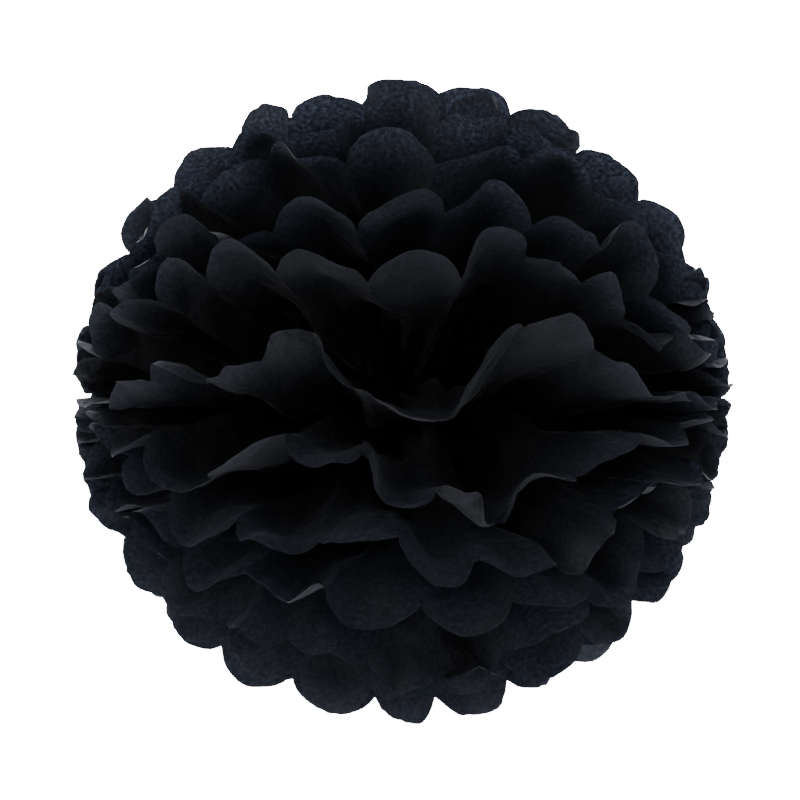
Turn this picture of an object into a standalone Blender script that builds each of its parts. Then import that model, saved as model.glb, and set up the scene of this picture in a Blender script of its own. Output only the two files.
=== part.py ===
"""Tissue paper pom pom: twelve pleated tissue sheets tied at their middle by one wire and fanned into a ball.

Frame: the centre of the tie is the origin, +Z up the stack of pleats, the upper and lower fans open
left and right along X, and the mouths between the two fans face -Y (front) and +Y (back). Metres.
"""

import math

import bpy
import numpy as np

# The sheet, laid flat: PANELS accordion panels of PANEL_WIDTH, cut to twice TIP_RADIUS, both ends cut round.
PANELS = 13
PANEL_WIDTH = 0.035
PAPER = 0.00025
TIP_RADIUS = 0.1275
SCALLOP_DEPTH = 0.011
SCALLOP_STEPS = 6

# How the sheets open round the X axis, as degrees from the front pole, front sheet first.
OPENING = (12.5, 26.0, 38.5, 53.0, 66.0, 78.0, 93.0, 106.0, 119.0, 133.0, 147.0, 163.0)
FREE_EDGE = math.radians(0.6)
FOLD_JITTER = math.radians(1.3)
FULL_SWING_FROM = math.radians(35.0)
MOST_SWING = 0.38
FLATTENING = 0.97
FOLD_ROWS = (0.0, 0.012, 0.032, 0.070)
SEED = 11

# The folds stand high near the tie and are eased nearly flat at the round ends.
EASED = 0.85
EASED_OVER = (0.055, 0.110)
PULLED_OVER = (0.030, 0.125)

# Where each fold was pulled to at its end, for the sheets round the front mouth, in degrees:
# first its opening from the front, then its bearing along the fan.
PULLED = {
    (0, 0): (
        (6, 8, 11, 12, 17, 21, 11.5, 9, 15.5, 18, 19.5, 21, 16, 10),
        (0.6, 16, 32, 45, 56, 67, 79, 96.5, 113, 128, 141, 153, 166, 179.4),
    ),
    (0, 1): (
        (10, 9, 9, 8.5, -0.5, -5, 12.5, 9, -2.5, 4.2, 5, 5, 6, 7),
        (0.6, 14, 27, 40, 53, 68, 82, 96, 106, 115, 127, 141, 156, 179.4),
    ),
    (1, 0): (
        (16, 17, 19, 22, 28, 27, 26.5, 21, 26, 32, 33, 31, 24, 17),
        (0.6, 13, 26, 38.5, 51.5, 66, 82, 98, 113.5, 127.5, 140.5, 153, 166, 179.4),
    ),
    (1, 1): (
        (18, 19, 20, 21.5, 25, 36, 25.5, 16.5, 17.5, 29, 18, 20, 20, 18),
        (0.6, 14, 27, 42, 58, 73, 84, 97, 111, 127, 142, 153, 166, 179.4),
    ),
    (2, 0): (
        (26, 30, 36, 44, 47, 46, 38.5, 40.5, 47, 45, 42, 38, 32, 28),
        (0.6, 13, 26, 39, 53, 68, 84, 100, 115, 128.5, 141, 153, 166, 179.4),
    ),
    (2, 1): (
        (30, 32, 35, 37, 39, 48, 43, 34.7, 38, 36, 34, 33, 32, 30),
        (0.6, 12, 24, 36, 48, 62, 77, 90, 105, 121, 136, 150, 165, 179.4),
    ),
    (3, 1): (
        (42, 44, 48, 52, 57, 54, 51, 49.5, 51, 53, 53, 50, 46, 43),
        (0.6, 12.5, 25.5, 39, 53, 69.5, 86.5, 103.5, 120.5, 134, 146, 157, 168, 179.4),
    ),
}

# The tie: the pinched bundle of sheets, the one turn of wire round it and its twisted tail.
BUNDLE_HALF_WIDTH = 0.0036
SHEET_STEP = 0.0007
WAIST_HALF_HEIGHT = 0.0012
BEND_STEP = 0.0006
EDGE_CLOSING = 0.5
WIRE_RADIUS = 0.0003
RING_RADIUS = 0.0060
TAIL_LENGTH = 0.014
TAIL_PITCH = 0.0035
TAIL_STRAND_OFFSET = 0.00038


def clear_scene():
    for thing in list(bpy.data.objects):
        bpy.data.objects.remove(thing, do_unlink=True)


def material(name, colour, roughness, metallic):
    made = bpy.data.materials.new(name)
    made.use_nodes = True
    shader = made.node_tree.nodes["Principled BSDF"]
    shader.inputs["Base Color"].default_value = (*colour, 1.0)
    shader.inputs["Roughness"].default_value = roughness
    shader.inputs["Metallic"].default_value = metallic
    return made


def fold_bearings(half):
    """Bearings of the fold lines in a fan, from +X round to -X: even panels, set out by hand."""
    random = np.random.default_rng(SEED + half)
    even = np.linspace(FREE_EDGE, math.pi - FREE_EDGE, PANELS + 1)
    even[1:-1] += random.uniform(-FOLD_JITTER, FOLD_JITTER, PANELS - 1)
    return even


def smooth(limits, x):
    """Smoothstep: 0 below the first limit, 1 above the second, easing between."""
    t = min(max((x - limits[0]) / (limits[1] - limits[0]), 0.0), 1.0)
    return t * t * (3.0 - 2.0 * t)


def fold_point(sheet, half, fold, bearings, radius):
    """A point of one fold line, at a radius from the waist: the fan opens round X, its folds swing either way."""
    bearing = bearings[fold]
    opening = math.radians(OPENING[sheet])
    if (sheet, half) in PULLED:
        pulled_opening, pulled_bearing = (math.radians(row[fold]) for row in PULLED[sheet, half])
        pulled = smooth(PULLED_OVER, radius)
        opening += (pulled_opening - opening) * pulled
        bearing += (pulled_bearing - bearing) * pulled
    chord = min(radius * math.pi / PANELS, 0.999 * PANEL_WIDTH)
    half_height = 0.5 * math.sqrt(PANEL_WIDTH**2 - chord**2) * (1 - EASED * smooth(EASED_OVER, radius))
    reach = max(radius, 1e-6) * max(math.sin(bearing), math.sin(FULL_SWING_FROM))
    swing = min(half_height / reach, MOST_SWING)
    near_pole = (1 - math.exp(-abs(opening) / swing)) * (1 - math.exp((opening - math.pi) / swing))
    turned = opening + swing * near_pole * (1 if fold % 2 else -1)
    y_waist = (sheet - 5.5) * SHEET_STEP
    x = math.cos(bearing) * (BUNDLE_HALF_WIDTH + (1 - BUNDLE_HALF_WIDTH / TIP_RADIUS) * radius)
    out = FLATTENING * radius * math.sin(bearing)
    y = y_waist - out * math.cos(turned)
    bend = WAIST_HALF_HEIGHT + BEND_STEP * min(sheet, 11 - sheet)
    z = bend * (1 - EDGE_CLOSING * radius / TIP_RADIUS) + out * math.sin(turned)
    return np.array((x, y, z if half == 0 else -z))


def scallop_radius(across):
    """Radius of the round-cut end, where across runs 0 to 1 over a panel."""
    half_chord = 0.5 * PANEL_WIDTH
    arc = (half_chord**2 + SCALLOP_DEPTH**2) / (2 * SCALLOP_DEPTH)
    offset = (2 * across - 1) * half_chord
    return TIP_RADIUS - arc + math.sqrt(arc**2 - offset**2)


def fan_rows(sheet, half):
    """The fold rows of one fan, from the waist out, and last the scalloped edge."""
    bearings = fold_bearings(half)
    rows = []
    for radius in FOLD_ROWS:
        rows.append([fold_point(sheet, half, fold, bearings, radius) for fold in range(PANELS + 1)])
    edge = []
    for panel in range(PANELS):
        for step in range(SCALLOP_STEPS + (panel == PANELS - 1)):
            across = step / SCALLOP_STEPS
            radius = scallop_radius(across)
            first = fold_point(sheet, half, panel, bearings, radius)
            second = fold_point(sheet, half, panel + 1, bearings, radius)
            edge.append((1 - across) * first + across * second)
    return rows, edge


def pleat_faces(inner, outer):
    """Two triangles for each panel between two fold rows, the diagonal mirrored from panel to panel."""
    faces = []
    for panel in range(PANELS):
        a, b, c, d = inner + panel, inner + panel + 1, outer + panel + 1, outer + panel
        faces += [(a, b, c), (a, c, d)] if panel % 2 else [(a, b, d), (b, c, d)]
    return faces


def edge_faces(inner, outer):
    """The round-ended last stretch of each panel."""
    faces = []
    middle = SCALLOP_STEPS // 2
    for panel in range(PANELS):
        left, right = inner + panel, inner + panel + 1
        first = outer + panel * SCALLOP_STEPS
        faces += [(left, first + step + 1, first + step) for step in range(middle)]
        faces.append((left, right, first + middle))
        faces += [(right, first + step + 1, first + step) for step in range(middle, SCALLOP_STEPS)]
    return faces


def tissue_sheet(sheet, collection, paper):
    """One sheet: its lower fan, the waist in the tie, and its upper fan, given the paper's thickness."""
    y_waist = (sheet - 5.5) * SHEET_STEP
    mean = 0.5 * (fold_bearings(0) + fold_bearings(1))
    points = [(BUNDLE_HALF_WIDTH * math.cos(bearing), y_waist, 0.0) for bearing in mean]
    faces = []
    for half in (0, 1):
        rows, edge = fan_rows(sheet, half)
        found = []
        inner = 0
        for row in rows:
            outer = len(points)
            points += [tuple(point) for point in row]
            found += pleat_faces(inner, outer)
            inner = outer
        found += edge_faces(inner, len(points))
        points += [tuple(point) for point in edge]
        faces += [face[::-1] for face in found] if half else found
    mesh = bpy.data.meshes.new(f"tissue_sheet_{sheet + 1:02d}")
    mesh.from_pydata(points, [], faces)
    made = bpy.data.objects.new(mesh.name, mesh)
    collection.objects.link(made)
    mesh.materials.append(paper)
    solid = made.modifiers.new("paper thickness", "SOLIDIFY")
    solid.thickness = PAPER
    solid.offset = 0.0
    solid.use_even_offset = False


def wire_path():
    """Centreline of the wire: one strand of the tail, the turn round the bundle, the other strand back out."""
    start = RING_RADIUS + 0.0022
    steps = 22
    strand = []
    for step in range(steps, -1, -1):
        along = start + (TAIL_LENGTH - 0.0022) * step / steps
        turn = 2 * math.pi * (along - start) / TAIL_PITCH
        strand.append((TAIL_STRAND_OFFSET * math.cos(turn), along, TAIL_STRAND_OFFSET * math.sin(turn)))
    opening = math.radians(18)
    ring = []
    for step in range(31):
        angle = math.pi / 2 - opening - (2 * math.pi - 2 * opening) * step / 30
        ring.append((RING_RADIUS * math.cos(angle), RING_RADIUS * math.sin(angle), 0.0))
    return strand + ring + [(-x, y, -z) for x, y, z in strand[::-1]]


def tie_wire(collection, metal):
    path = wire_path()
    curve = bpy.data.curves.new("tie_wire", "CURVE")
    curve.dimensions = "3D"
    curve.bevel_depth = WIRE_RADIUS
    curve.bevel_resolution = 1
    curve.use_fill_caps = True
    line = curve.splines.new("POLY")
    line.points.add(len(path) - 1)
    for point, place in zip(line.points, path):
        point.co = (*place, 1.0)
    made = bpy.data.objects.new("tie_wire", curve)
    collection.objects.link(made)
    curve.materials.append(metal)


clear_scene()
bpy.context.scene.unit_settings.scale_length = 1.0
pompom = bpy.data.collections.new("tissue_paper_pom_pom")
bpy.context.scene.collection.children.link(pompom)
tissue = material("Black tissue paper", (0.008, 0.0085, 0.010), 0.85, 0.0)
for number in range(len(OPENING)):
    tissue_sheet(number, pompom, tissue)
tie_wire(pompom, material("Black coated florist wire", (0.012, 0.012, 0.012), 0.45, 0.0))
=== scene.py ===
"""Tissue paper pom pom.

Twelve black tissue sheets are pleated together, cut round at both ends, tied and fanned out.
"""

import math

import bpy
import numpy as np
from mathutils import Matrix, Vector


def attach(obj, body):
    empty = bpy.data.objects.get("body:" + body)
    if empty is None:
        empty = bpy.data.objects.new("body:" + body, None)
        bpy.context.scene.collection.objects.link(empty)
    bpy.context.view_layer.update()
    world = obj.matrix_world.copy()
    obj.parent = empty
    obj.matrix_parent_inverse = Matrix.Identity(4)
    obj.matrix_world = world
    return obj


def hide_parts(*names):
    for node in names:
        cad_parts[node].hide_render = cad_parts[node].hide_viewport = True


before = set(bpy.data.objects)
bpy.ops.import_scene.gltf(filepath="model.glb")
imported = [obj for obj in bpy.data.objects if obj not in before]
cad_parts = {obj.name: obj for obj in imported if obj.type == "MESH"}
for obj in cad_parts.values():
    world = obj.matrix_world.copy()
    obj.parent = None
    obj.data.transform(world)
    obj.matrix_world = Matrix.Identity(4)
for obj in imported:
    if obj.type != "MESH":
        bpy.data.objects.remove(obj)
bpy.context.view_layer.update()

# ---------------------------------------------------------------------------------------------
# The room: a seamless white studio with a pale floor well below the ball, which hangs free.
# The walls shine from behind and above, which lights the rims and comes through the paper, and
# four soft boxes fill the front, the two sides and the crown.
# ---------------------------------------------------------------------------------------------
CAMERA_DISTANCE = 1.6
CAMERA_ELEVATION = math.radians(-10.0)
VIEW_WIDTH = 0.3090
SENSOR_WIDTH = 36.0
WALL_LIGHT_FROM = (0.0, 0.87, 0.49)
# How bright the walls are, from the side that faces away from that direction (0) to the side in it (1).
WALL_LEVELS = ((0.10, 0.014), (0.50, 0.030), (0.78, 0.10), (0.97, 1.0))
WALL_TINT = (0.94, 0.97, 1.08)
WALL_STRENGTH = 9.2
SEEN_STRENGTH = 24.0
SOFT_BOX_SIDE = 0.9
WHITE = (1.0, 1.0, 1.0, 1.0)

camera_data = bpy.data.cameras.new("Camera")
camera_data.sensor_width = SENSOR_WIDTH
camera_data.lens = SENSOR_WIDTH * CAMERA_DISTANCE / VIEW_WIDTH
camera = bpy.data.objects.new("Camera", camera_data)
bpy.context.scene.collection.objects.link(camera)
aim = Vector((-0.0007, 0.0, -0.0002))
back_along_view = Vector((0.0, -math.cos(CAMERA_ELEVATION), math.sin(CAMERA_ELEVATION)))
camera.location = aim + CAMERA_DISTANCE * back_along_view
camera.rotation_euler = (aim - camera.location).to_track_quat("-Z", "Y").to_euler()
bpy.context.scene.camera = camera


class Socket:
    """A shader socket that adds Math nodes when it is used in an expression."""

    def __init__(self, tree, source):
        self.tree, self.source = tree, source

    def maths(self, operation, left, right):
        return node(self.tree, "ShaderNodeMath", {"operation": operation}, {0: left, 1: right}, 0)

    def __add__(self, other):
        return self.maths("ADD", self, other)

    def __radd__(self, other):
        return self.maths("ADD", other, self)

    def __sub__(self, other):
        return self.maths("SUBTRACT", self, other)

    def __mul__(self, other):
        return self.maths("MULTIPLY", self, other)

    def __rmul__(self, other):
        return self.maths("MULTIPLY", other, self)


def node(tree, kind, settings, values, output):
    """A node of one type, with its settings set first, then its sockets given values or links."""
    made = tree.nodes.new(kind)
    for name, value in settings.items():
        setattr(made, name, value)
    for name, value in values.items():
        if isinstance(value, Socket):
            tree.links.new(value.source, made.inputs[name])
        else:
            made.inputs[name].default_value = value
    return Socket(tree, made.outputs[output])


world = bpy.data.worlds.new("White studio")
bpy.context.scene.world = world
world.use_nodes = True
studio = world.node_tree
heading = node(studio, "ShaderNodeTexCoord", {}, {}, "Generated")
dot_product = {"operation": "DOT_PRODUCT"}
towards_light = node(studio, "ShaderNodeVectorMath", dot_product, {0: heading, 1: WALL_LIGHT_FROM}, "Value")
brightness = node(studio, "ShaderNodeValToRGB", {}, {"Fac": towards_light * 0.5 + 0.5}, "Color")
levels = brightness.source.node.color_ramp
levels.interpolation = "EASE"
for place, level in WALL_LEVELS:
    levels.elements.new(place).color = (*(level * tint for tint in WALL_TINT), 1.0)
for end_stop in (0, -1):
    levels.elements.remove(levels.elements[end_stop])
walls = node(studio, "ShaderNodeBackground", {}, {"Color": brightness, "Strength": WALL_STRENGTH}, 0)
seen = node(studio, "ShaderNodeBackground", {}, {"Color": WHITE, "Strength": SEEN_STRENGTH}, 0)
straight = node(studio, "ShaderNodeLightPath", {}, {}, "Is Camera Ray")
around = node(studio, "ShaderNodeMixShader", {}, {0: straight, 1: walls, 2: seen}, 0)
studio.links.new(around.source, studio.nodes["World Output"].inputs["Surface"])


def soft_box(name, place, power):
    """A square area lamp at place, turned to face the middle of the ball."""
    lamp = bpy.data.lights.new(name, "AREA")
    lamp.shape = "SQUARE"
    lamp.size = SOFT_BOX_SIDE
    lamp.energy = power
    holder = bpy.data.objects.new(name, lamp)
    bpy.context.scene.collection.objects.link(holder)
    holder.location = place
    holder.rotation_euler = (-Vector(place)).to_track_quat("-Z", "Y").to_euler()


soft_box("Front soft box", (0.3, -1.6, -0.15), 1.7)
soft_box("Left soft box", (-1.4, -1.0, 0.25), 7.0)
soft_box("Right soft box", (1.5, -0.6, 0.5), 2.0)
soft_box("Rim soft box", (0.0, 0.9, 1.3), 4.0)

bpy.ops.mesh.primitive_plane_add(size=3.0, location=(0.0, 0.0, -1.5))
floor = bpy.context.object
floor.name = "Studio_floor"
floor_paint = bpy.data.materials.new("Pale studio floor")
floor_paint.use_nodes = True
floor_finish = floor_paint.node_tree.nodes["Principled BSDF"]
floor_finish.inputs["Base Color"].default_value = (0.86, 0.86, 0.86, 1.0)
floor_finish.inputs["Roughness"].default_value = 0.7
floor.data.materials.append(floor_paint)

# ---------------------------------------------------------------------------------------------
# The tissue: 17 g paper dyed black right through. It is matt with a faint sheen, its fibres lie in
# clouds that let a little light through, and handling has creased it all over. Towards the tie the
# pleats lie crushed several layers deep, so they let less light through. Their colour is also made
# darker towards the tie: painted shade, for the shade that the deeper, denser real pleats trap.
# A thin band along the cut edge is painted lighter: a painted highlight where light catches the edge.
# ---------------------------------------------------------------------------------------------
CLOSE_FIBRES = (0.0120, 0.0127, 0.0150, 1.0)
OPEN_FIBRES = (0.0152, 0.0159, 0.0188, 1.0)
# Painted shade: the darker colour given to the paper towards the tie.
PAINTED_INNER_SHADE = (0.0042, 0.0043, 0.0050, 1.0)
# Painted highlight: the lighter colour of a thin band along the cut edge, where light catches it.
PAINTED_EDGE_HIGHLIGHT = (0.028, 0.029, 0.033, 1.0)
LIGHT_THROUGH = (0.085, 0.101, 0.140, 1.0)
PAINTED_EDGE_HIGHLIGHT_OVER = (0.0002, 0.0011)
# Distances from the rim over which the painted shade comes in, and the share of unshaded colour and of light
# through that is left beyond them.
PAINTED_SHADE_OVER = (0.008, 0.056)
INNER_UNSHADED_SHARE = 0.17
CREASE_HEIGHT = 0.0012

tissue = bpy.data.materials.new("Black tissue paper")
tissue.use_nodes = True
tree = tissue.node_tree
flat_sheet = node(tree, "ShaderNodeUVMap", {"uv_map": "flat_sheet"}, {}, "UV")
from_edge = node(tree, "ShaderNodeAttribute", {"attribute_name": "from_edge"}, {}, "Fac")


def fibres(scale, detail, stretch=(1.0, 1.0, 1.0)):
    """Cloudy noise on the flat sheet, which the fibres and creases of the paper follow."""
    place = node(tree, "ShaderNodeMapping", {}, {"Vector": flat_sheet, "Scale": stretch}, "Vector")
    return node(tree, "ShaderNodeTexNoise", {}, {"Vector": place, "Scale": scale, "Detail": detail}, "Fac")


def creases(scale):
    """Straight-edged creases: the distance to the nearest border between random cells of the flat sheet."""
    edge = {"feature": "DISTANCE_TO_EDGE"}
    return node(tree, "ShaderNodeTexVoronoi", edge, {"Vector": flat_sheet, "Scale": scale}, "Distance")


def between(value, limits, at_low, at_high):
    """A value carried in a straight line from the two limits to at_low and at_high, and held beyond them."""
    ends = {0: value, 1: limits[0], 2: limits[1], 3: at_low, 4: at_high}
    return node(tree, "ShaderNodeMapRange", {}, ends, 0)


def blend(share, first, second):
    """Two colours mixed: first where share is 0, second where it is 1."""
    return node(tree, "ShaderNodeMix", {"data_type": "RGBA"}, {0: share, 6: first, 7: second}, 2)


clouds = fibres(560.0, 4.0)
fine = fibres(1900.0, 2.0)
grain = clouds * 0.5 + fine * 0.5
wrinkles = fibres(330.0, 2.0, (1.0, 0.16, 1.0))
height = clouds * 0.3 + fine * 0.15 + fibres(90.0, 3.0) * 1.2
height = height + creases(70.0) * 1.6 + creases(160.0) * 0.9 + wrinkles * 0.07
surface = {"Height": height, "Strength": 0.8, "Distance": CREASE_HEIGHT}
bump = node(tree, "ShaderNodeBump", {}, surface, "Normal")

shade = node(tree, "ShaderNodeValToRGB", {}, {"Fac": grain}, "Color")
ramp = shade.source.node.color_ramp
ramp.elements[0].position, ramp.elements[0].color = 0.30, CLOSE_FIBRES
ramp.elements[1].position, ramp.elements[1].color = 0.72, OPEN_FIBRES
# From the rim towards the tie the paper's own colour and the light through it fade; the colour that replaces
# them is painted shade.
unshaded_share = between(from_edge, PAINTED_SHADE_OVER, 1.0, INNER_UNSHADED_SHARE)
# Painted highlight along the cut edge: strongest at the rim, gone 1.1 mm in, and mottled by the fibre
# clouds.
cut = between(from_edge, PAINTED_EDGE_HIGHLIGHT_OVER, 1.0, 0.0) * (0.35 + 1.1 * (clouds - 0.25))
paper_front = tree.nodes["Principled BSDF"]
# The fibre tone, with painted shade towards the tie and a painted highlight along the cut edge.
colour = blend(cut, blend(unshaded_share, PAINTED_INNER_SHADE, shade), PAINTED_EDGE_HIGHLIGHT)
tree.links.new(colour.source, paper_front.inputs["Base Color"])
tree.links.new(bump.source, paper_front.inputs["Normal"])
paper_front.inputs["Roughness"].default_value = 0.72
paper_front.inputs["Specular IOR Level"].default_value = 0.25
paper_front.inputs["Sheen Weight"].default_value = 0.05
paper_front.inputs["Sheen Roughness"].default_value = 0.4

glow = node(tree, "ShaderNodeBsdfTranslucent", {}, {"Color": LIGHT_THROUGH, "Normal": bump}, 0)
thin = between(grain, (0.50, 0.70), 0.0, 1.0)
through = (0.080 + 0.26 * (clouds - 0.5) + 0.14 * thin) * unshaded_share
layers = {0: through, 1: Socket(tree, paper_front.outputs[0]), 2: glow}
paper = node(tree, "ShaderNodeMixShader", {}, layers, 0)
tree.links.new(paper.source, tree.nodes["Material Output"].inputs["Surface"])

# ---------------------------------------------------------------------------------------------
# The sheets: each is one piece of tissue, thirteen pleats wide, both ends cut round pleat by pleat.
# It is pinched in the tie, its two ends are fanned half round, and it is pulled away from the
# next sheet by hand, so every round end curls, twists and creases in its own way.
# ---------------------------------------------------------------------------------------------
PANELS = 13
PANEL_WIDTH = 0.035
TIP_RADIUS = 0.1275
SCALLOP_DEPTH = 0.011
OPENING = (12.5, 26.0, 38.5, 53.0, 66.0, 78.0, 93.0, 106.0, 119.0, 133.0, 147.0, 163.0)
FREE_EDGE = math.radians(0.6)
FOLD_JITTER = math.radians(1.3)
FULL_SWING_FROM = math.radians(35.0)
MOST_SWING = 0.38
FLATTENING = 0.97
SEED = 11
BUNDLE_HALF_WIDTH = 0.0036
SHEET_STEP = 0.0007
WAIST_HALF_HEIGHT = 0.0012
BEND_STEP = 0.0006
EDGE_CLOSING = 0.5
# Radii over which a fold swings to where it was pulled, and over which its height is eased out.
PULLED_OVER = (0.030, 0.125)
EASED_OVER = (0.055, 0.110)
HALF_CHORD = 0.5 * PANEL_WIDTH
ARC = (HALF_CHORD**2 + SCALLOP_DEPTH**2) / (2 * SCALLOP_DEPTH)
CUSP_RADIUS = TIP_RADIUS - SCALLOP_DEPTH
COLUMNS = 16
ROWS = 60
# How far handling moves a fold, in degrees of opening and of bearing, and how much of its height goes.
HANDLED_OPENING = 2.6
HANDLED_BEARING = 1.3
HANDLED_EASING = (0.6, 0.95)
# Most spare width that a panel holds in its fine waves and in its arch, as shares of its drawn-in width.
MOST_WAVED = 3.5
MOST_ARCHED = 0.15
# Radii over which the fine waves die out, the scallops' lean, and the radii where round ends start to bend.
WAVES_DIE_OVER = (0.100, 0.050)
MOST_LEAN = 0.35
BENDS_FROM = (0.060, 0.085)
# How round ends bend, in radians: a whole end, its last 12 mm, a few that are rolled, and soft waves on all.
CURL = 0.24
LIP = 0.25
ROLLED_LIP = 0.7
STIR = 0.22
# The crumples that handling leaves in the paper, coarse to fine: (seed, height, width of a facet).
CRUMPLES = ((500, 0.0015, 0.019), (700, 0.0008, 0.010), (900, 0.00045, 0.0055))
SHARPEST_SMOOTHED = math.radians(24.0)

# Where each fold was pulled to at its end, for the sheets round the front mouth, in degrees:
# first its opening from the front, then its bearing along the fan.
PULLED = {
    (0, 0): (
        (6, 8, 11, 12, 17, 21, 11.5, 9, 15.5, 18, 19.5, 21, 16, 10),
        (0.6, 16, 32, 45, 56, 67, 79, 96.5, 113, 128, 141, 153, 166, 179.4),
    ),
    (0, 1): (
        (10, 9, 9, 8.5, -0.5, -5, 12.5, 9, -2.5, 4.2, 5, 5, 6, 7),
        (0.6, 14, 27, 40, 53, 68, 82, 96, 106, 115, 127, 141, 156, 179.4),
    ),
    (1, 0): (
        (16, 17, 19, 22, 28, 27, 26.5, 21, 26, 32, 33, 31, 24, 17),
        (0.6, 13, 26, 38.5, 51.5, 66, 82, 98, 113.5, 127.5, 140.5, 153, 166, 179.4),
    ),
    (1, 1): (
        (18, 19, 20, 21.5, 25, 36, 25.5, 16.5, 17.5, 29, 18, 20, 20, 18),
        (0.6, 14, 27, 42, 58, 73, 84, 97, 111, 127, 142, 153, 166, 179.4),
    ),
    (2, 0): (
        (26, 30, 36, 44, 47, 46, 38.5, 40.5, 47, 45, 42, 38, 32, 28),
        (0.6, 13, 26, 39, 53, 68, 84, 100, 115, 128.5, 141, 153, 166, 179.4),
    ),
    (2, 1): (
        (30, 32, 35, 37, 39, 48, 43, 34.7, 38, 36, 34, 33, 32, 30),
        (0.6, 12, 24, 36, 48, 62, 77, 90, 105, 121, 136, 150, 165, 179.4),
    ),
    (3, 1): (
        (42, 44, 48, 52, 57, 54, 51, 49.5, 51, 53, 53, 50, 46, 43),
        (0.6, 12.5, 25.5, 39, 53, 69.5, 86.5, 103.5, 120.5, 134, 146, 157, 168, 179.4),
    ),
}
# Single round ends bent by hand, by sheet and half, as panel: (degrees away from the front, degrees that
# the rim rolls after it, radius where the bend starts, length that it takes).
BENT = {
    (0, 0): {2: (-50, 0, 0.098, 0.012)},
    (0, 1): {
        5: (0, 10, 0.080, 0.04),
        6: (0, 0, 0.090, 0.03),
        7: (5, 0, 0.080, 0.04),
        8: (-10, -60, 0.080, 0.04),
    },
    (1, 1): {6: (30, 0, 0.085, 0.04), 9: (20, -10, 0.085, 0.035), 10: (12, 0, 0.075, 0.04)},
}


def smooth(low, high, x):
    """Smoothstep: 0 at low, 1 at high, easing between and held beyond; low may be above high."""
    t = np.clip((x - low) / (high - low), 0.0, 1.0)
    return t * t * (3.0 - 2.0 * t)


def lattice(seed, x, y, size):
    """The square that each point lies in: its random corner heights, from -1 to 1, and the place in it."""
    table = np.random.default_rng(seed).uniform(-1.0, 1.0, (97, 97))
    column, row = np.floor(x / size).astype(int), np.floor(y / size).astype(int)
    corners = [table[(row + dy) % 97, (column + dx) % 97] for dy in (0, 1) for dx in (0, 1)]
    return corners, x / size - column, y / size - row


def ripple(seed, x, y, size):
    """Soft waves: the corner heights joined by smoothstep."""
    (a, b, c, d), across, along = lattice(seed, x, y, size)
    across, along = across**2 * (3 - 2 * across), along**2 * (3 - 2 * along)
    return (a * (1 - across) + b * across) * (1 - along) + (c * (1 - across) + d * across) * along


def facets(seed, x, y, size):
    """Crumpled paper: a turned and shaken lattice whose squares are two flat triangles each.

    The triangles meet in straight creases.
    """
    turn = 0.7 * seed
    u = x * math.cos(turn) - y * math.sin(turn) + 0.25 * size * ripple(seed + 1, x, y, 1.3 * size)
    v = x * math.sin(turn) + y * math.cos(turn) + 0.25 * size * ripple(seed + 2, x, y, 1.3 * size)
    (a, b, c, d), across, along = lattice(seed, u, v, size)
    lower = a + across * (b - a) + along * (d - b)
    upper = a + along * (c - a) + across * (d - c)
    return np.where(across > along, lower, upper)


def fold_places(sheet, half, fold, radius, hand):
    """Points on fold lines, at their radii from the tie.

    The fan opens round X by the sheet's opening, and each fold leaves the tie at its own bearing along it.
    Folds swing to either side of the fan by their half height, less near the pole, where both ends of the
    opening meet. Further out the bearing and opening pass into the ones that the maker's hand gave them.
    """
    random = np.random.default_rng(SEED + half)
    even = np.linspace(FREE_EDGE, math.pi - FREE_EDGE, PANELS + 1)
    even[1:-1] += random.uniform(-FOLD_JITTER, FOLD_JITTER, PANELS - 1)
    outer = smooth(*PULLED_OVER, radius)
    bearing = even[fold] * (1 - outer) + hand["bearing"][fold] * outer
    opening = math.radians(OPENING[sheet]) * (1 - outer) + hand["opening"][fold] * outer
    chord = np.minimum(radius * math.pi / PANELS, 0.999 * PANEL_WIDTH)
    half_height = 0.5 * np.sqrt(PANEL_WIDTH**2 - chord**2)
    half_height = half_height * (1 - hand["eased"][fold] * smooth(*EASED_OVER, radius))
    reach = np.maximum(radius, 1e-6) * np.maximum(np.sin(bearing), math.sin(FULL_SWING_FROM))
    swing = np.minimum(half_height / reach, MOST_SWING)
    near_pole = (1 - np.exp(-np.abs(opening) / swing)) * (1 - np.exp(-np.abs(math.pi - opening) / swing))
    near_pole = np.maximum(near_pole, 0.2 * outer)
    turned = opening + swing * near_pole * np.where(fold % 2 == 1, 1.0, -1.0)
    out = FLATTENING * radius * np.sin(bearing)
    x = np.cos(bearing) * (BUNDLE_HALF_WIDTH + (1 - BUNDLE_HALF_WIDTH / TIP_RADIUS) * radius)
    y = (sheet - 5.5) * SHEET_STEP - out * np.cos(turned)
    bend = WAIST_HALF_HEIGHT + BEND_STEP * min(sheet, 11 - sheet)
    z = bend * (1 - EDGE_CLOSING * radius / TIP_RADIUS) + out * np.sin(turned)
    return np.stack((x, y, z if half == 0 else -z), axis=-1)


def unit(vectors):
    """Vectors scaled to a length of one."""
    return vectors / np.maximum(np.linalg.norm(vectors, axis=-1, keepdims=True), 1e-12)


def hand_work(sheet, half, random):
    """What the maker's fingers did to each fold: moved it round, pulled it out and partly opened it."""
    wander = random.normal(0.0, 1.0, PANELS + 3)
    wander = (wander[:-2] + 1.4 * wander[1:-1] + wander[2:]) / 2.0
    opening = OPENING[sheet] + HANDLED_OPENING * wander
    bearing = np.degrees(np.linspace(FREE_EDGE, math.pi - FREE_EDGE, PANELS + 1))
    bearing[1:-1] += random.normal(0.0, HANDLED_BEARING, PANELS - 1)
    eased = random.uniform(*HANDLED_EASING, PANELS + 1)
    if (sheet, half) in PULLED:
        opening, bearing = np.array(PULLED[sheet, half], dtype=float)
        eased = np.ones(PANELS + 1)
    return {"bearing": np.radians(bearing), "opening": np.radians(opening), "eased": eased}


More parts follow.
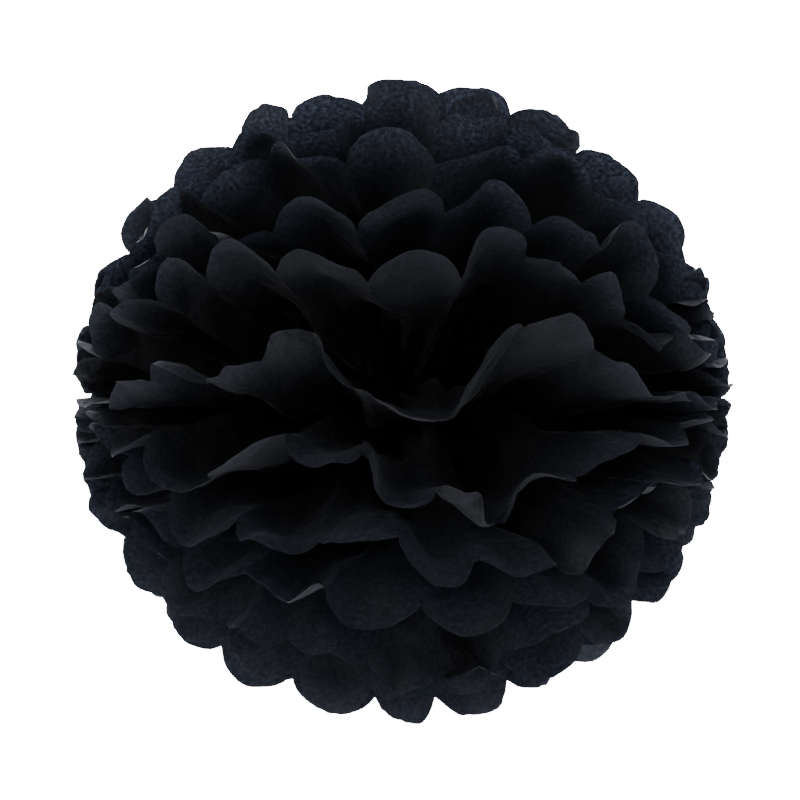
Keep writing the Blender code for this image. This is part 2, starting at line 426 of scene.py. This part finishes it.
def facing(points, away):
    """Unit normals of a grid of points, turned to the side of the direction away, and leaning towards it."""
    normal = unit(np.cross(np.gradient(points, axis=1), np.gradient(points, axis=0)))
    side = np.where((normal @ away)[..., None] < 0, -1.0, 1.0)
    return unit(normal * side + 0.4 * away)


def fan(sheet, half):
    """One fan, as points on a grid of rows out from the tie and columns across the pleats.

    A panel is ruled between its two folds. The width that the folds leave over stands up: in fine waves
    near the tie, and further out as one arch across each panel. Outside the tie the round end bends: the
    direction of each column is turned about the panel by an angle that grows towards the rim, and the
    points are the running sum of those directions. Creases then lift the paper a little along its normal.
    """
    random = np.random.default_rng(1000 * SEED + 10 * sheet + half)
    hand = hand_work(sheet, half, random)
    pleat = np.linspace(0.0, PANELS, PANELS * COLUMNS + 1)[None, :]
    step = np.linspace(0.0, 1.0, ROWS + 1)[:, None]
    fold = np.minimum(np.floor(pleat + 1e-9).astype(int), PANELS - 1)
    across = pleat - fold
    shift = np.random.default_rng(40 + 2 * sheet + half).uniform(-MOST_LEAN, MOST_LEAN, PANELS)
    askew = across + shift[fold] * across * (1 - across)
    rim = TIP_RADIUS - ARC + np.sqrt(ARC**2 - ((2 * askew - 1) * HALF_CHORD) ** 2)
    rim = rim + 0.0005 * ripple(70 + sheet, pleat * PANEL_WIDTH, 0.0 * pleat + half, 0.0025)
    rim = rim + 0.0016 * ripple(90 + sheet, pleat * PANEL_WIDTH, 0.0 * pleat + half, 0.012)
    radius = step * CUSP_RADIUS + (rim - CUSP_RADIUS) * step**4
    across = across + 0.0 * radius
    fold = fold + 0 * radius.astype(int)
    first = fold_places(sheet, half, fold, radius, hand)
    second = fold_places(sheet, half, fold + 1, radius, hand)
    eased = across - 0.4 * smooth(0.05, 0.12, radius) * np.sin(2 * np.pi * across) / (2 * np.pi)
    opened = math.radians(OPENING[sheet])
    away = np.array((0.0, math.sin(opened), math.cos(opened) * (1 if half == 0 else -1)))
    ruled = first + (second - first) * across[..., None]
    ruled = ruled + (((second - first) @ away) * (eased - across))[..., None] * away
    # The spare width stands up.
    drawn_in = np.linalg.norm(second - first, axis=-1)
    excess = np.clip(PANEL_WIDTH / np.maximum(drawn_in, 0.004) - 1.0, 0.0, MOST_WAVED)
    inner = smooth(*WAVES_DIE_OVER, radius)
    phase = 0.8 * ripple(400 + 2 * sheet + half, 0.035 * fold, radius, 0.03)
    finer = np.sqrt(excess * (4.0 + 2.47 * excess)) / (4 * np.pi)
    finer = finer * np.sin(2 * np.pi * (2 * across + phase * across * (1 - across)))
    bulge = np.where(random.uniform(size=PANELS) < 0.72, 1.0, -0.7) * random.uniform(0.45, 1.0, PANELS)
    arch = np.sqrt(0.375 * np.minimum(excess, MOST_ARCHED)) * bulge[fold] * np.sin(np.pi * across)
    wave = drawn_in * (finer * inner + arch * (1 - inner)) * smooth(0.004, 0.02, radius)
    ruled = ruled + facing(ruled, away) * wave[..., None]
    # Each round end bends.
    along = np.gradient(ruled, axis=0)
    length = np.linalg.norm(along, axis=-1, keepdims=True)
    normal = facing(ruled, away)
    curl = random.normal(0.0, CURL, PANELS)
    lip = random.normal(0.0, LIP, PANELS) + ROLLED_LIP * random.choice((-1, 0, 0, 0, 0, 0, 1), PANELS)
    start = random.uniform(*BENDS_FROM, PANELS)
    end = np.full(PANELS, TIP_RADIUS)
    for panel, (bent, rolled, bent_from, length_of_bend) in BENT.get((sheet, half), {}).items():
        curl[panel], lip[panel] = math.radians(bent), math.radians(rolled)
        start[panel], end[panel] = bent_from, bent_from + length_of_bend
    free = smooth(CUSP_RADIUS - 0.006, CUSP_RADIUS + 0.004, radius)
    loose = np.maximum(np.sin(np.pi * across) ** 1.5, 0.8 * free)
    loose = loose * smooth(0.0, 0.6, pleat) * smooth(0.0, 0.6, PANELS - pleat)
    angle = curl[fold] * smooth(start[fold], end[fold], radius) * loose
    angle = angle + lip[fold] * smooth(0.012, 0.0, rim - radius) * loose
    stir = ripple(300 + 2 * sheet + half, pleat * PANEL_WIDTH + 0 * radius, radius, 0.013)
    angle = angle + STIR * stir * smooth(0.05, 0.12, radius)
    steps = (unit(along) * np.cos(angle)[..., None] + normal * np.sin(angle)[..., None]) * length
    run = np.cumsum(0.5 * (steps[1:] + steps[:-1]), axis=0)
    points = ruled[:1] + np.concatenate((np.zeros_like(steps[:1]), run))
    # Handling creases the paper.
    sheet_x, sheet_y = pleat * PANEL_WIDTH + 0 * radius, radius
    own = 10 * sheet + 5 * half
    lift = sum(high * facets(seed + own, sheet_x, sheet_y, wide) for seed, high, wide in CRUMPLES)
    points = points + facing(points, away) * (lift * smooth(0.02, 0.07, radius))[..., None]
    return points, sheet_x, sheet_y, rim - radius


def tissue_sheet(sheet):
    """The two fans joined through the waist as one grid, from the lower rim to the upper rim."""
    upper, across, along, edge = fan(sheet, 0)
    lower, across_lower, along_lower, edge_lower = fan(sheet, 1)
    waist = 0.5 * (upper[:1] + lower[:1])
    waist[..., 2] = 0.0
    points = np.concatenate((lower[::-1], waist, upper))
    flat_x = np.concatenate((across_lower[::-1], across[:1], across))
    flat_y = np.concatenate((-along_lower[::-1] - 0.002, 0 * along[:1], along + 0.002))
    rows, columns = points.shape[:2]
    index = np.arange(rows * columns).reshape(rows, columns)
    faces = np.stack((index[:-1, :-1], index[:-1, 1:], index[1:, 1:], index[1:, :-1]), axis=-1)
    mesh = bpy.data.meshes.new(f"Tissue_sheet_{sheet + 1:02d}")
    mesh.from_pydata(points.reshape(-1, 3), [], faces.reshape(-1, 4))
    layout = mesh.uv_layers.new(name="flat_sheet")
    place = np.stack((flat_x + 0.5 * sheet, flat_y + 0.35 * sheet), axis=-1).reshape(-1, 2)
    corners = np.zeros(len(mesh.loops), dtype=np.int32)
    mesh.loops.foreach_get("vertex_index", corners)
    layout.uv.foreach_set("vector", place[corners].astype(np.float32).ravel())
    inward = mesh.attributes.new("from_edge", "FLOAT", "POINT")
    from_rim = np.concatenate((edge_lower[::-1], edge[:1], edge))
    inward.data.foreach_set("value", from_rim.astype(np.float32).ravel())
    mesh.polygons.foreach_set("use_smooth", np.ones(len(mesh.polygons), dtype=bool))
    mesh.set_sharp_from_angle(angle=SHARPEST_SMOOTHED)
    mesh.materials.append(tissue)
    made = bpy.data.objects.new(mesh.name, mesh)
    bpy.context.scene.collection.objects.link(made)
    return made


segment = ARC**2 * math.asin(HALF_CHORD / ARC) - HALF_CHORD * (ARC - SCALLOP_DEPTH)
cut_length = 2 * (TIP_RADIUS + WAIST_HALF_HEIGHT)
cut_area = PANELS * PANEL_WIDTH * cut_length - 2 * PANELS * (PANEL_WIDTH * SCALLOP_DEPTH - segment)
for sheet in range(len(OPENING)):
    piece = tissue_sheet(sheet)
    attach(piece, "root")
    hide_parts(f"tissue_sheet_{sheet + 1:02d}")

# ---------------------------------------------------------------------------------------------
# The tie: one turn of black lacquered florist wire round the waist, its ends twisted together.
# ---------------------------------------------------------------------------------------------
lacquer = bpy.data.materials.new("Black lacquered wire")
lacquer.use_nodes = True
wire_tree = lacquer.node_tree
spot = node(wire_tree, "ShaderNodeTexCoord", {}, {}, "Object")
wear = node(wire_tree, "ShaderNodeTexNoise", {}, {"Vector": spot, "Scale": 900.0, "Detail": 3.0}, "Fac")
scuffs = {"Height": wear, "Strength": 0.2, "Distance": 0.0001}
wire_bump = node(wire_tree, "ShaderNodeBump", {}, scuffs, "Normal")
wire_paint = wire_tree.nodes["Principled BSDF"]
wire_paint.inputs["Base Color"].default_value = (0.012, 0.012, 0.012, 1.0)
wire_tree.links.new((0.35 + 0.25 * wear).source, wire_paint.inputs["Roughness"])
wire_tree.links.new(wire_bump.source, wire_paint.inputs["Normal"])
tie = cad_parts["tie_wire"]
tie.data.materials.clear()
tie.data.materials.append(lacquer)
